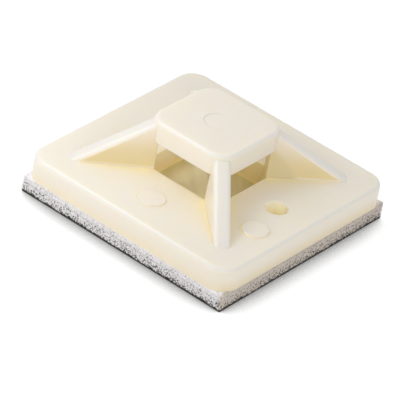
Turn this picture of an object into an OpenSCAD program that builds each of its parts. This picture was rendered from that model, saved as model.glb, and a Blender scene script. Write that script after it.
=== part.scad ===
// Four-way cable tie mount: a moulded nylon base with a raised bridge on four
// corner ribs, stuck down by a foam tape pad that still has its release liner.
// The origin is under the middle of the liner, +Z is up and the screw hole is
// on the +X side.

/* [Base plate] */
// Side of the square base plate
plate_w = 28; // [24:0.5:40]
// Thickness of the base plate
plate_t = 2.8; // [2:0.1:4]
// Plan radius of the base plate's corners
plate_corner_r = 2.3; // [1.2:0.1:4]
// Radius along the base plate's upper edge
plate_edge_r = 0.5; // [0.2:0.05:0.9]

/* [Bridge] */
// Side of the square bridge that the tie passes under
bridge_w = 10.8; // [10:0.1:13]
// Thickness of the bridge
bridge_t = 2.55; // [1.8:0.05:4]
// Plan radius of the bridge's corners
bridge_corner_r = 2.2; // [1.2:0.1:2.6]
// Radius along the bridge's upper edge
bridge_edge_r = 0.45; // [0.2:0.05:0.8]
// Clear height for the tie, from the plate's top to the bridge's underside
tie_gap = 3.45; // [2:0.05:6]

/* [Core hole] */
// How far the core hole's sides lie inside the bridge's sides
core_inset = 0.25; // [0.15:0.05:0.6]
// Leg of the hole's cut-off corners, where the ribs stand
core_corner = 1.7; // [1.5:0.1:2.2]

/* [Ribs] */
// Thickness of a rib at its crest
rib_t = 1.85; // [1.3:0.05:2.1]
// Radius along both edges of a rib's crest
rib_edge_r = 0.5; // [0.2:0.05:0.6]
// Draft of a rib's sides, in degrees
rib_draft = 2; // [0.5:0.5:4]
// How far below the bridge's top a rib's crest meets the bridge's corner
rib_drop = 0.6; // [0.5:0.05:1.5]
// How far a rib's toe stays from the plate's corner, along the diagonal
rib_toe_gap = 3.75; // [2.5:0.05:6]

/* [Screw hole] */
// Diameter of the screw hole
screw_d = 2.5; // [1.8:0.1:3.2]
// Distance of the screw hole's axis from the plate's +X side
screw_inset = 4.55; // [3.4:0.05:5.2]
// Radius of the rounding round the screw hole's mouth
screw_rim_r = 0.15; // [0.05:0.05:0.3]

/* [Ejector pin marks] */
// Diameter of the ejector pins
pin_d = 3; // [2:0.1:3.5]
// How far a pin's mark stands out of the plate
pin_raise = 0.2; // [0.1:0.05:0.4]
// Depth of the pin's mark in the bridge's top
pin_sink = 0.06; // [0.02:0.01:0.2]
// Distance of the middle pin mark's centre from the plate's -Y side
middle_pin_inset = 4.4; // [3:0.1:5]
// Distance of the other pin mark's centre from the plate's +X side
screw_pin_inset = 3.4; // [3:0.1:5]
// Distance of that mark's centre from the screw hole's axis, along Y
screw_pin_side = 5.1; // [4.2:0.1:7]

/* [Tape pad] */
// How far the tape pad's sides lie inside the plate's sides
pad_inset = 0.1; // [0:0.05:1]
// Thickness of the foam, with its adhesive on both faces
foam_t = 1.85; // [0.8:0.05:3]
// Thickness of the release liner
liner_t = 0.18; // [0.08:0.01:0.3]

/* [Hidden] */
$fn = 64;
// Small length that a cutter runs past the face it cuts
past = 0.5;
plate_z = liner_t + foam_t;
plate_top = plate_z + plate_t;
bridge_z = plate_top + tie_gap;
bridge_top = bridge_z + bridge_t;
core_w = bridge_w - 2 * core_inset;
pad_w = plate_w - 2 * pad_inset;
// Distances from the middle, along a diagonal: the core's cut corner, the
// bridge's rounded corner, the plate's rounded corner and the rib's toe
core_reach = (core_w - core_corner) / sqrt(2);
bridge_reach = (bridge_w / 2 - bridge_corner_r) * sqrt(2) + bridge_corner_r;
plate_reach = (plate_w / 2 - plate_corner_r) * sqrt(2) + plate_corner_r;
rib_toe = plate_reach - rib_toe_gap;
rib_rise = tie_gap + bridge_t - rib_drop;
rib_slope = atan2(rib_rise, rib_toe - bridge_reach);

// Upright profile of a slab's half: straight side, then the rounded upper edge
module edge_profile(reach, t, edge_r) {
    square([reach - edge_r, t]);
    square([reach, t - edge_r]);
    translate([reach - edge_r, t - edge_r]) circle(edge_r);
}

// Slab with rounded corners in plan and a rounded upper edge: four straight
// sides made by extruding the profile and four corners made by revolving it
module rounded_slab(w, t, corner_r, edge_r) {
    straight = w - 2 * corner_r;
    for (turn = [0:90:270]) rotate(turn) {
        translate([0, straight / 2, 0]) rotate([90, 0, 0])
            linear_extrude(straight) edge_profile(w / 2, t, edge_r);
        translate([straight / 2, straight / 2, 0])
            rotate_extrude(angle = 90) edge_profile(corner_r, t, edge_r);
    }
}

// Plan of the core hole: a square with its corners cut off
module core_plan() {
    far = core_w / 2;
    near = far - core_corner;
    polygon([
        [far, near], [near, far], [-near, far], [-far, near],
        [-far, -near], [-near, -far], [near, -far], [far, -near],
    ]);
}

// Section of a rib across its crest: X runs down from the crest, Y across it
module rib_section() {
    depth = rib_rise + bridge_t;
    lean = sin(rib_draft);
    half = rib_t / 2;
    for (side = [-1, 1])
        translate([rib_edge_r, side * (half - rib_edge_r)]) circle(rib_edge_r);
    translate([0, rib_edge_r - half]) square([depth, rib_t - 2 * rib_edge_r]);
    shoulder = rib_edge_r * (1 - lean);
    shoulder_half = half - rib_edge_r * (1 - cos(rib_draft));
    foot_half = shoulder_half + (depth - shoulder) * tan(rib_draft);
    polygon([
        [shoulder, -shoulder_half], [depth, -foot_half],
        [depth, foot_half], [shoulder, shoulder_half],
    ]);
}

// One rib along +X: the section runs up the crest from the toe, and the rib
// ends above the plate's top and at the core hole's cut corner
module rib() {
    run = (rib_toe - core_reach) / cos(rib_slope);
    intersection() {
        translate([rib_toe, 0, 0]) rotate([0, rib_slope - 90, 0])
            translate([0, 0, -rib_rise]) linear_extrude(run + 2 * rib_rise)
                rotate(180) rib_section();
        translate([core_reach, -rib_toe / 2, -plate_t / 2])
            cube([rib_toe, rib_toe, rib_rise + plate_t]);
    }
}

// Through hole for the screw, with its rounded mouth
module screw_cut() {
    mouth_r = screw_d / 2 + screw_rim_r;
    translate([plate_w / 2 - screw_inset, 0, 0]) {
        translate([0, 0, -past]) cylinder(d = screw_d, h = plate_t + 2 * past);
        translate([0, 0, plate_t - screw_rim_r]) rotate_extrude() difference() {
            square([mouth_r, screw_rim_r + past]);
            translate([mouth_r, 0]) circle(screw_rim_r);
        }
    }
}

// The pins' raised marks on the plate: one in the middle of the -Y side, one
// beside the screw hole
module pin_marks() {
    middle_mark = [0, middle_pin_inset - plate_w / 2];
    screw_mark = [plate_w / 2 - screw_pin_inset, -screw_pin_side];
    for (mark = [middle_mark, screw_mark])
        translate([mark[0], mark[1], plate_t / 2])
            cylinder(d = pin_d, h = plate_t / 2 + pin_raise);
}

// Moulded base, bridge and ribs, in one piece
module mount_body() {
    color([0.93, 0.9, 0.82]) translate([0, 0, plate_z]) difference() {
        union() {
            rounded_slab(plate_w, plate_t, plate_corner_r, plate_edge_r);
            translate([0, 0, plate_t + tie_gap])
                rounded_slab(bridge_w, bridge_t, bridge_corner_r, bridge_edge_r);
            translate([0, 0, plate_t])
                for (turn = [45:90:315]) rotate(turn) rib();
            pin_marks();
        }
        translate([0, 0, -past])
            linear_extrude(plate_t + tie_gap + past) core_plan();
        screw_cut();
        translate([0, 0, bridge_top - plate_z - pin_sink])
            cylinder(d = pin_d, h = pin_sink + past);
    }
}

// Double-sided foam tape, cut square
module foam_pad() {
    color([0.85, 0.85, 0.86]) translate([-pad_w / 2, -pad_w / 2, liner_t])
        cube([pad_w, pad_w, foam_t]);
}

// Liner left on the tape's lower face until the mount is stuck down
module release_liner() {
    color([0.2, 0.19, 0.13]) translate([-pad_w / 2, -pad_w / 2, 0])
        cube([pad_w, pad_w, liner_t]);
}

mount_body();
foam_pad();
release_liner();
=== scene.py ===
import math

import bmesh
import bpy
from mathutils import Matrix, Vector, noise


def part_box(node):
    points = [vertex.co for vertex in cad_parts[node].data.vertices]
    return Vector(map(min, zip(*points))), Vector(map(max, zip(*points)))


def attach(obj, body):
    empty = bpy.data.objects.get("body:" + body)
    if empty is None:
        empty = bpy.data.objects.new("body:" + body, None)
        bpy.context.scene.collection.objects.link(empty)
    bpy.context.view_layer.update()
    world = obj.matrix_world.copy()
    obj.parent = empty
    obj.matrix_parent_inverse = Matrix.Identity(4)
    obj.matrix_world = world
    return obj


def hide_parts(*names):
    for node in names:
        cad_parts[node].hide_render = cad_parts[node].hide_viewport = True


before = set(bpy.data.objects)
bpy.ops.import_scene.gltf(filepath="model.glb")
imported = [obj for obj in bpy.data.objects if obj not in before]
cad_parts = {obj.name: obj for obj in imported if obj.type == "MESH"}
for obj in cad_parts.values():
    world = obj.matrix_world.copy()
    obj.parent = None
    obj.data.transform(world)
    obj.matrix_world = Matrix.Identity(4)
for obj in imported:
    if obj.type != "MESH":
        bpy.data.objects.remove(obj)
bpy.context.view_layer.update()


# Mount body: one injection moulding in natural nylon, a slightly translucent cream
# plastic. Its yellowing where light only reaches it through its own walls is painted shade and
# glow.
# The tape pad below it carries it.
MM = 0.001
# Heights above the liner's underside, in millimetres
plate_top = 4.83
mark_top = 5.03


class Signal:
    """The output of a shader node. Operators on it add Math nodes."""

    def __init__(self, finish, socket):
        self.finish, self.socket = finish, socket

    def math(self, operation, first, second):
        return self.finish.node("Math", {"operation": operation}, {0: first, 1: second})

    def __add__(self, other):
        return self.math("ADD", self, other)

    def __sub__(self, other):
        return self.math("SUBTRACT", self, other)

    def __rsub__(self, other):
        return self.math("SUBTRACT", other, self)

    def __mul__(self, other):
        return self.math("MULTIPLY", self, other)

    __radd__ = __add__
    __rmul__ = __mul__

    def clamped(self):
        return self.finish.node("Clamp", {}, {"Value": self})

    def ramp(self, low, high):
        """0 up to low, 1 from high on, and smooth between."""
        settings = {"interpolation_type": "SMOOTHSTEP"}
        return self.finish.node(
            "MapRange", settings, {"Value": self, "From Min": low, "From Max": high}
        )


class Finish:
    """A material or a world, and the nodes that are added to it."""

    def __init__(self, owner):
        self.owner = owner
        owner.use_nodes = True
        self.tree = owner.node_tree
        self.tree.nodes.clear()

    def node(self, kind, settings, inputs, output=0):
        made = self.tree.nodes.new("ShaderNode" + kind)
        for name, value in settings.items():
            setattr(made, name, value)
        for name, value in inputs.items():
            if isinstance(value, Signal):
                self.tree.links.new(value.socket, made.inputs[name])
            else:
                made.inputs[name].default_value = value
        return Signal(self, made.outputs[output]) if made.outputs else None

    def place(self):
        """Position on the piece, in millimetres."""
        here = self.node("TexCoord", {}, {}, "Object")
        return self.node("VectorMath", {"operation": "SCALE"}, {0: here, "Scale": 1 / MM})

    def parts(self, vector, axes="XYZ"):
        return [self.node("SeparateXYZ", {}, {0: vector}, axis) for axis in axes]

    def reach(self, place):
        """Distance from the origin, in millimetres."""
        return self.node("VectorMath", {"operation": "LENGTH"}, {0: place}, "Value")

    def noise(self, place, scale, detail=2.0):
        inputs = {"Vector": place, "Scale": scale, "Detail": detail}
        return self.node("TexNoise", {}, inputs, "Fac")

    def open_sky(self):
        """1 where nothing stands within 5 mm, and less in hollows."""
        inputs = {"Distance": 5 * MM}
        return self.node("AmbientOcclusion", {"samples": 8}, inputs, "AO")

    def blend(self, share, first, second):
        colours = {6: first, 7: second}
        inputs = {socket: (*colour, 1) if isinstance(colour, tuple) else colour
                  for socket, colour in colours.items()}
        return self.node("Mix", {"data_type": "RGBA"}, {0: share, **inputs}, 2)

    def surface(self, shader):
        """Close the material. Its glow is too weak to be sampled as a lamp."""
        self.node("OutputMaterial", {}, {"Surface": shader})
        self.owner.cycles.emission_sampling = "NONE"
        return self.owner


black = (0.0, 0.0, 0.0)


def nylon():
    cream, warm_cream = (0.96, 0.88, 0.775), (0.955, 0.87, 0.75)
    painted_edge_sheen = (0.885, 0.85, 0.79)
    hollow_shade_amber = (0.95, 0.82, 0.46)
    foot_shade_amber = (0.93, 0.77, 0.53)
    rib_shade_khaki = (0.84, 0.73, 0.44)
    low_wall_shade, high_wall_shade = (0.90, 0.86, 0.60), (0.95, 0.92, 0.84)
    far_wall_shade_khaki = (0.80, 0.71, 0.45)
    painted_glow_yellow = (1.0, 0.9, 0.5)

    finish = Finish(bpy.data.materials.new("natural_nylon"))
    place = finish.place()
    east, north, height = finish.parts(place)
    reach = finish.reach(place)
    across, along, tilt = finish.parts(finish.node("TexCoord", {}, {}, "Normal"))

    # Clouded cream, with a greyer painted sheen on the rounded upper edges
    cloud = finish.noise(place, 0.16).ramp(0.35, 0.65)
    colour = finish.blend(cloud, cream, warm_cream)
    sheen_rim = tilt.ramp(0.25, 0.6) * (1 - tilt.ramp(0.85, 0.98))
    colour = finish.blend(sheen_rim, colour, painted_edge_sheen)

    # Painted shade: hollows turn amber, but not the bridge's top, the pins' marks or
    # the rib sides that face the key lamp
    bright_side = ((across + along) * -0.707).ramp(0.8, 0.95) * reach.ramp(8.5, 9.5)
    hollow = (1 - finish.open_sky()) * (1 - bright_side) * (1 - height.ramp(9.4, 9.8))
    above_plate = height.ramp(plate_top, plate_top + 0.02)
    above_mark = height.ramp(mark_top - 0.01, mark_top + 0.01)
    mark = (1 - tilt.ramp(0.3, 0.6)) * above_plate * (1 - above_mark)
    colour = finish.blend(hollow.ramp(0.18, 0.62) * (1 - mark), colour, hollow_shade_amber)

    # Painted shade and bounce light: the plate's sides warm towards the tape, most on the
    # shaded screw hole's side
    foot_shade = (1 - height.ramp(2.0, 3.8)) * (across.ramp(0.5, 0.95) * 0.45 + 0.5)
    colour = finish.blend(foot_shade, colour, foot_shade_amber)

    # Painted shade on the sides of the two side ribs
    rib_side_shade = (across * along * -2).ramp(0.9, 0.98) * height.ramp(4.9, 5.2)
    colour = finish.blend(rib_side_shade * (1 - height.ramp(5.5, 10.0)), colour, rib_shade_khaki)

    # Painted shade on the walls of the core and screw holes, darker low down, then deeper
    # painted shade on the core hole's +Y wall
    wall = hollow.ramp(0.4, 0.6) * (1 - height.ramp(plate_top - 0.08, plate_top + 0.02))
    colour = finish.blend(
        wall, colour, finish.blend(height.ramp(2.4, 4.7), low_wall_shade, high_wall_shade)
    )
    far_wall_shade = (along * -1).ramp(0.5, 0.7) * north.ramp(2.5, 3.0) * (1 - reach.ramp(10.0, 11.0))
    colour = finish.blend(far_wall_shade, colour, far_wall_shade_khaki)

    # Painted glow in place of light that comes through the walls, less in the
    # screw hole and on the core hole's +Y wall
    glow = hollow.ramp(0.3, 0.95) * (1 - wall * east.ramp(7.0, 8.0) * 0.5)
    glow = glow * (1 - far_wall_shade * 0.7)

    softened = finish.node("Bevel", {"samples": 6}, {"Radius": 0.12 * MM}, "Normal")
    bump = finish.node("Bump", {}, {
        "Height": finish.noise(place, 9.0, 3.0),
        "Strength": 0.05,
        "Distance": 0.02 * MM,
        "Normal": softened,
    }, "Normal")
    return finish.surface(finish.node("BsdfPrincipled", {}, {
        "Base Color": colour,
        "Roughness": finish.noise(place, 0.5) * 0.06 + 0.29,
        "IOR": 1.53,
        "Specular IOR Level": 0.4,
        "Subsurface Weight": 0.6,
        "Subsurface Radius": (1.0, 0.8, 0.5),
        "Subsurface Scale": 1.2 * MM,
        "Normal": bump,
        "Emission Color": finish.blend(glow, black, painted_glow_yellow),
        "Emission Strength": 0.2,
    }))


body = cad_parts["mount_body"]
body.data.materials.clear()
body.data.materials.append(nylon())


# Foam tape pad: double-sided open-cell foam, cut square with a blade, so that its
# sides show the cut cells. Its adhesive holds it to the moulding above.
def foam_pad():
    low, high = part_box("foam_pad")
    side_cuts = 340
    layers = 22
    glue_gap = 0.04 * MM
    cell = 0.34 * MM
    cell_depth = 0.12 * MM
    wave_length = 1.6 * MM
    wave_depth = 0.05 * MM
    corner_slack = 1e-7

    mesh = bmesh.new()
    bmesh.ops.create_grid(mesh, x_segments=1, y_segments=1, size=high.x)
    bmesh.ops.translate(mesh, verts=mesh.verts, vec=(0, 0, low.z))
    bmesh.ops.subdivide_edges(mesh, edges=mesh.edges[:], cuts=side_cuts)
    bmesh.ops.reverse_faces(mesh, faces=mesh.faces[:])
    top = mesh.faces[:]
    rise = (high.z - glue_gap - low.z) / layers
    for layer in range(layers):
        raised = bmesh.ops.extrude_face_region(mesh, geom=top, use_keep_orig=layer == 0)
        verts = [part for part in raised["geom"] if isinstance(part, bmesh.types.BMVert)]
        bmesh.ops.translate(mesh, verts=verts, vec=(0, 0, rise))
        top = [part for part in raised["geom"] if isinstance(part, bmesh.types.BMFace)]
    bmesh.ops.recalc_face_normals(mesh, faces=mesh.faces[:])

    # Cut cells and a slow wave, pushed inwards from the side a point is on
    for vert in mesh.verts:
        spot = vert.co.copy()
        nearest = noise.voronoi(spot / cell)[0]
        pit = max(0.0, 1 - nearest[0] / 0.55) * min(1.0, (nearest[1] - nearest[0]) * 4)
        wave = noise.noise(spot / wave_length) * wave_depth
        on_x_side = abs(spot.x) > abs(spot.y) - corner_slack
        on_y_side = abs(spot.y) > abs(spot.x) - corner_slack
        inward = Vector((-math.copysign(1, spot.x) if on_x_side else 0,
                         -math.copysign(1, spot.y) if on_y_side else 0, 0))
        vert.co += inward.normalized() * (pit * cell_depth + wave)

    data = bpy.data.meshes.new("foam_tape")
    mesh.to_mesh(data)
    mesh.free()
    data.polygons.foreach_set("use_smooth", [True] * len(data.polygons))
    pad = bpy.data.objects.new("foam_tape", data)
    bpy.context.scene.collection.objects.link(pad)
    return pad


def foam():
    white, shaded_white = (0.98, 0.95, 0.96), (0.80, 0.71, 0.62)
    cell_grey, speck_grey = (0.6, 0.56, 0.57), (0.35, 0.32, 0.33)
    fleck_black, bottom_black = (0.08, 0.075, 0.07), (0.04, 0.04, 0.035)
    film_and_shade_yellow = (0.93, 0.89, 0.63)
    glow_white = (1.0, 0.96, 0.96)
    cell_size = 0.3

    finish = Finish(bpy.data.materials.new("open_cell_foam"))
    place = finish.place()
    east, height = finish.parts(place, "XZ")
    reach = finish.reach(place)

    # Painted shade: the pad is duller on the screw hole's side
    shaded = east.ramp(13.3, 13.8)
    light = finish.blend(shaded, white, shaded_white)
    inputs = {"Vector": place, "Scale": 1 / cell_size}
    open_cell = 1 - finish.node("TexVoronoi", {}, inputs, "Distance").ramp(0.1, 0.5)
    colour = finish.blend(open_cell * 0.3, light, cell_grey)

    # Specks all over, dark flecks that thicken downwards, with a few more as painted shade on
    # the shaded side, and black at the foot
    speck = finish.noise(place, 5.5, 2.0)
    colour = finish.blend(speck.ramp(0.5, 0.65) * 0.45, colour, speck_grey)
    fleck = (speck + (1.2 - height) * 0.13 + shaded * 0.02).ramp(0.57, 0.69)
    colour = finish.blend(fleck * 0.85, colour, fleck_black)
    bottom_dark = 1 - (height + finish.noise(place, 2.5, 3.0) * 0.9).ramp(0.6, 0.72)
    colour = finish.blend(bottom_dark, colour, bottom_black)

    # Adhesive film on the top, seen through the core hole and the screw hole; its yellow is
    # partly painted shade and bounce light from the nylon
    outer = reach.ramp(12.5, 13.5)
    film = height.ramp(1.97, 1.98) * (1 - outer)
    colour = finish.blend(film, colour, film_and_shade_yellow)
    # Painted glow on the upper part of the pad's sides, but not on the shaded side
    upper_glow = height.ramp(1.2, 1.95) * outer * (1 - shaded)
    return finish.surface(finish.node("BsdfPrincipled", {}, {
        "Base Color": colour,
        "Roughness": 0.9,
        "IOR": 1.4,
        "Subsurface Weight": 0.3,
        "Subsurface Radius": (1.0, 1.0, 1.0),
        "Subsurface Scale": 0.3 * MM,
        "Emission Color": finish.blend(upper_glow, black, glow_white),
        "Emission Strength": 0.13,
    }))


pad = foam_pad()
pad.data.materials.append(foam())
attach(pad, "root")
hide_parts("foam_pad")


# Release liner: a thin dark siliconised film on the tape's lower face, cut
# together with the tape.
def liner_film():
    dark_olive, olive = (0.022, 0.021, 0.014), (0.04, 0.037, 0.022)
    finish = Finish(bpy.data.materials.new("release_film"))
    mottle = finish.noise(finish.place(), 1.5, 3.0)
    return finish.surface(finish.node("BsdfPrincipled", {}, {
        "Base Color": finish.blend(mottle, dark_olive, olive),
        "Roughness": 0.45,
    }))


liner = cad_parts["release_liner"]
liner.data.materials.clear()
liner.data.materials.append(liner_film())


# Floor: a wide white table with the mount's contact shadow, partly real and
# partly painted. Seen by the camera it glows, so that it is white away from the
# mount, and the glow fades out where the mount stands close, which paints the shadow.
def seen_directly(finish):
    """1 for what the camera sees, also in gloss or through glass."""
    rays = ("Is Camera Ray", "Is Glossy Ray", "Is Transmission Ray")
    camera, glossy, through = (finish.node("LightPath", {}, {}, ray) for ray in rays)
    return (camera + glossy + through).clamped()


def table_top():
    white, dim, glow_white = (0.9, 0.9, 0.9), (0.2, 0.2, 0.2), (1.0, 1.0, 1.0)
    finish = Finish(bpy.data.materials.new("white_table"))
    seen = seen_directly(finish)
    glow = seen * ((finish.open_sky() - 0.42) * 3.4).clamped()
    return finish.surface(finish.node("BsdfPrincipled", {}, {
        "Base Color": finish.blend(seen, white, dim),
        "Roughness": 0.9,
        "Emission Color": finish.blend(glow, black, glow_white),
        "Emission Strength": 0.9,
    }))


table_radius = 1.5
table_gap = 0.01 * MM
mesh = bmesh.new()
bmesh.ops.create_circle(mesh, cap_ends=True, segments=96, radius=table_radius)
bmesh.ops.translate(mesh, verts=mesh.verts, vec=(0, 0, -table_gap))
data = bpy.data.meshes.new("table")
mesh.to_mesh(data)
mesh.free()
table = bpy.data.objects.new("table", data)
bpy.context.scene.collection.objects.link(table)
data.materials.append(table_top())


# Light: a pale room, seen as white, and two soft lamps. The key stands near, at
# the upper left, so that the screw hole's side of the mount gets less of it.
# The fill stands far off at the front right.
room = Finish(bpy.data.worlds.new("room"))
level = room.node(
    "MapRange", {}, {"Value": seen_directly(room), "To Min": 0.78, "To Max": 1.0}
)
shade = room.node("Background", {}, {"Strength": level})
room.node("OutputWorld", {}, {"Surface": shade})
bpy.context.scene.world = room.owner


def lamp(name, place, size, power):
    middle = Vector((0, 0, 5 * MM))
    light = bpy.data.lights.new(name, "AREA")
    light.size = size
    light.energy = power
    stand = bpy.data.objects.new(name, light)
    stand.location = place
    stand.rotation_euler = (middle - Vector(place)).to_track_quat("-Z", "Y").to_euler()
    bpy.context.scene.collection.objects.link(stand)


lamp("soft_key", place=(-0.028, -0.030, 0.052), size=0.030, power=0.0115)
lamp("front_fill", place=(0.230, -0.220, 0.130), size=0.150, power=0.160)


# Camera: a long lens at the front, turned a little about its own axis. It aims
# at a point on the plate's top.
azimuth, elevation, roll = (math.radians(angle) for angle in (33.91, 33.78, 10.58))
distance = 416.8
back = Vector((math.sin(azimuth) * math.cos(elevation),
               -math.cos(azimuth) * math.cos(elevation), math.sin(elevation)))
level_right = Vector((math.cos(azimuth), math.sin(azimuth), 0))
level_up = back.cross(level_right)
right = level_right * math.cos(roll) + level_up * math.sin(roll)
up = back.cross(right)
aim = Vector((3.373 * MM, -5.598 * MM, plate_top * MM))
turn = Matrix((right, up, back)).transposed().to_4x4()
camera = bpy.data.cameras.new("camera")
camera.lens = 354.3
camera.clip_start = 0.01
camera.clip_end = 10
view = bpy.data.objects.new("camera", camera)
view.matrix_world = Matrix.Translation(aim + back * distance * MM) @ turn
bpy.context.scene.collection.objects.link(view)
bpy.context.scene.camera = view
bpy.context.scene.view_settings.view_transform = "Standard"
bpy.context.scene.cycles.diffuse_bounces = 16
bpy.context.scene.cycles.max_bounces = 24
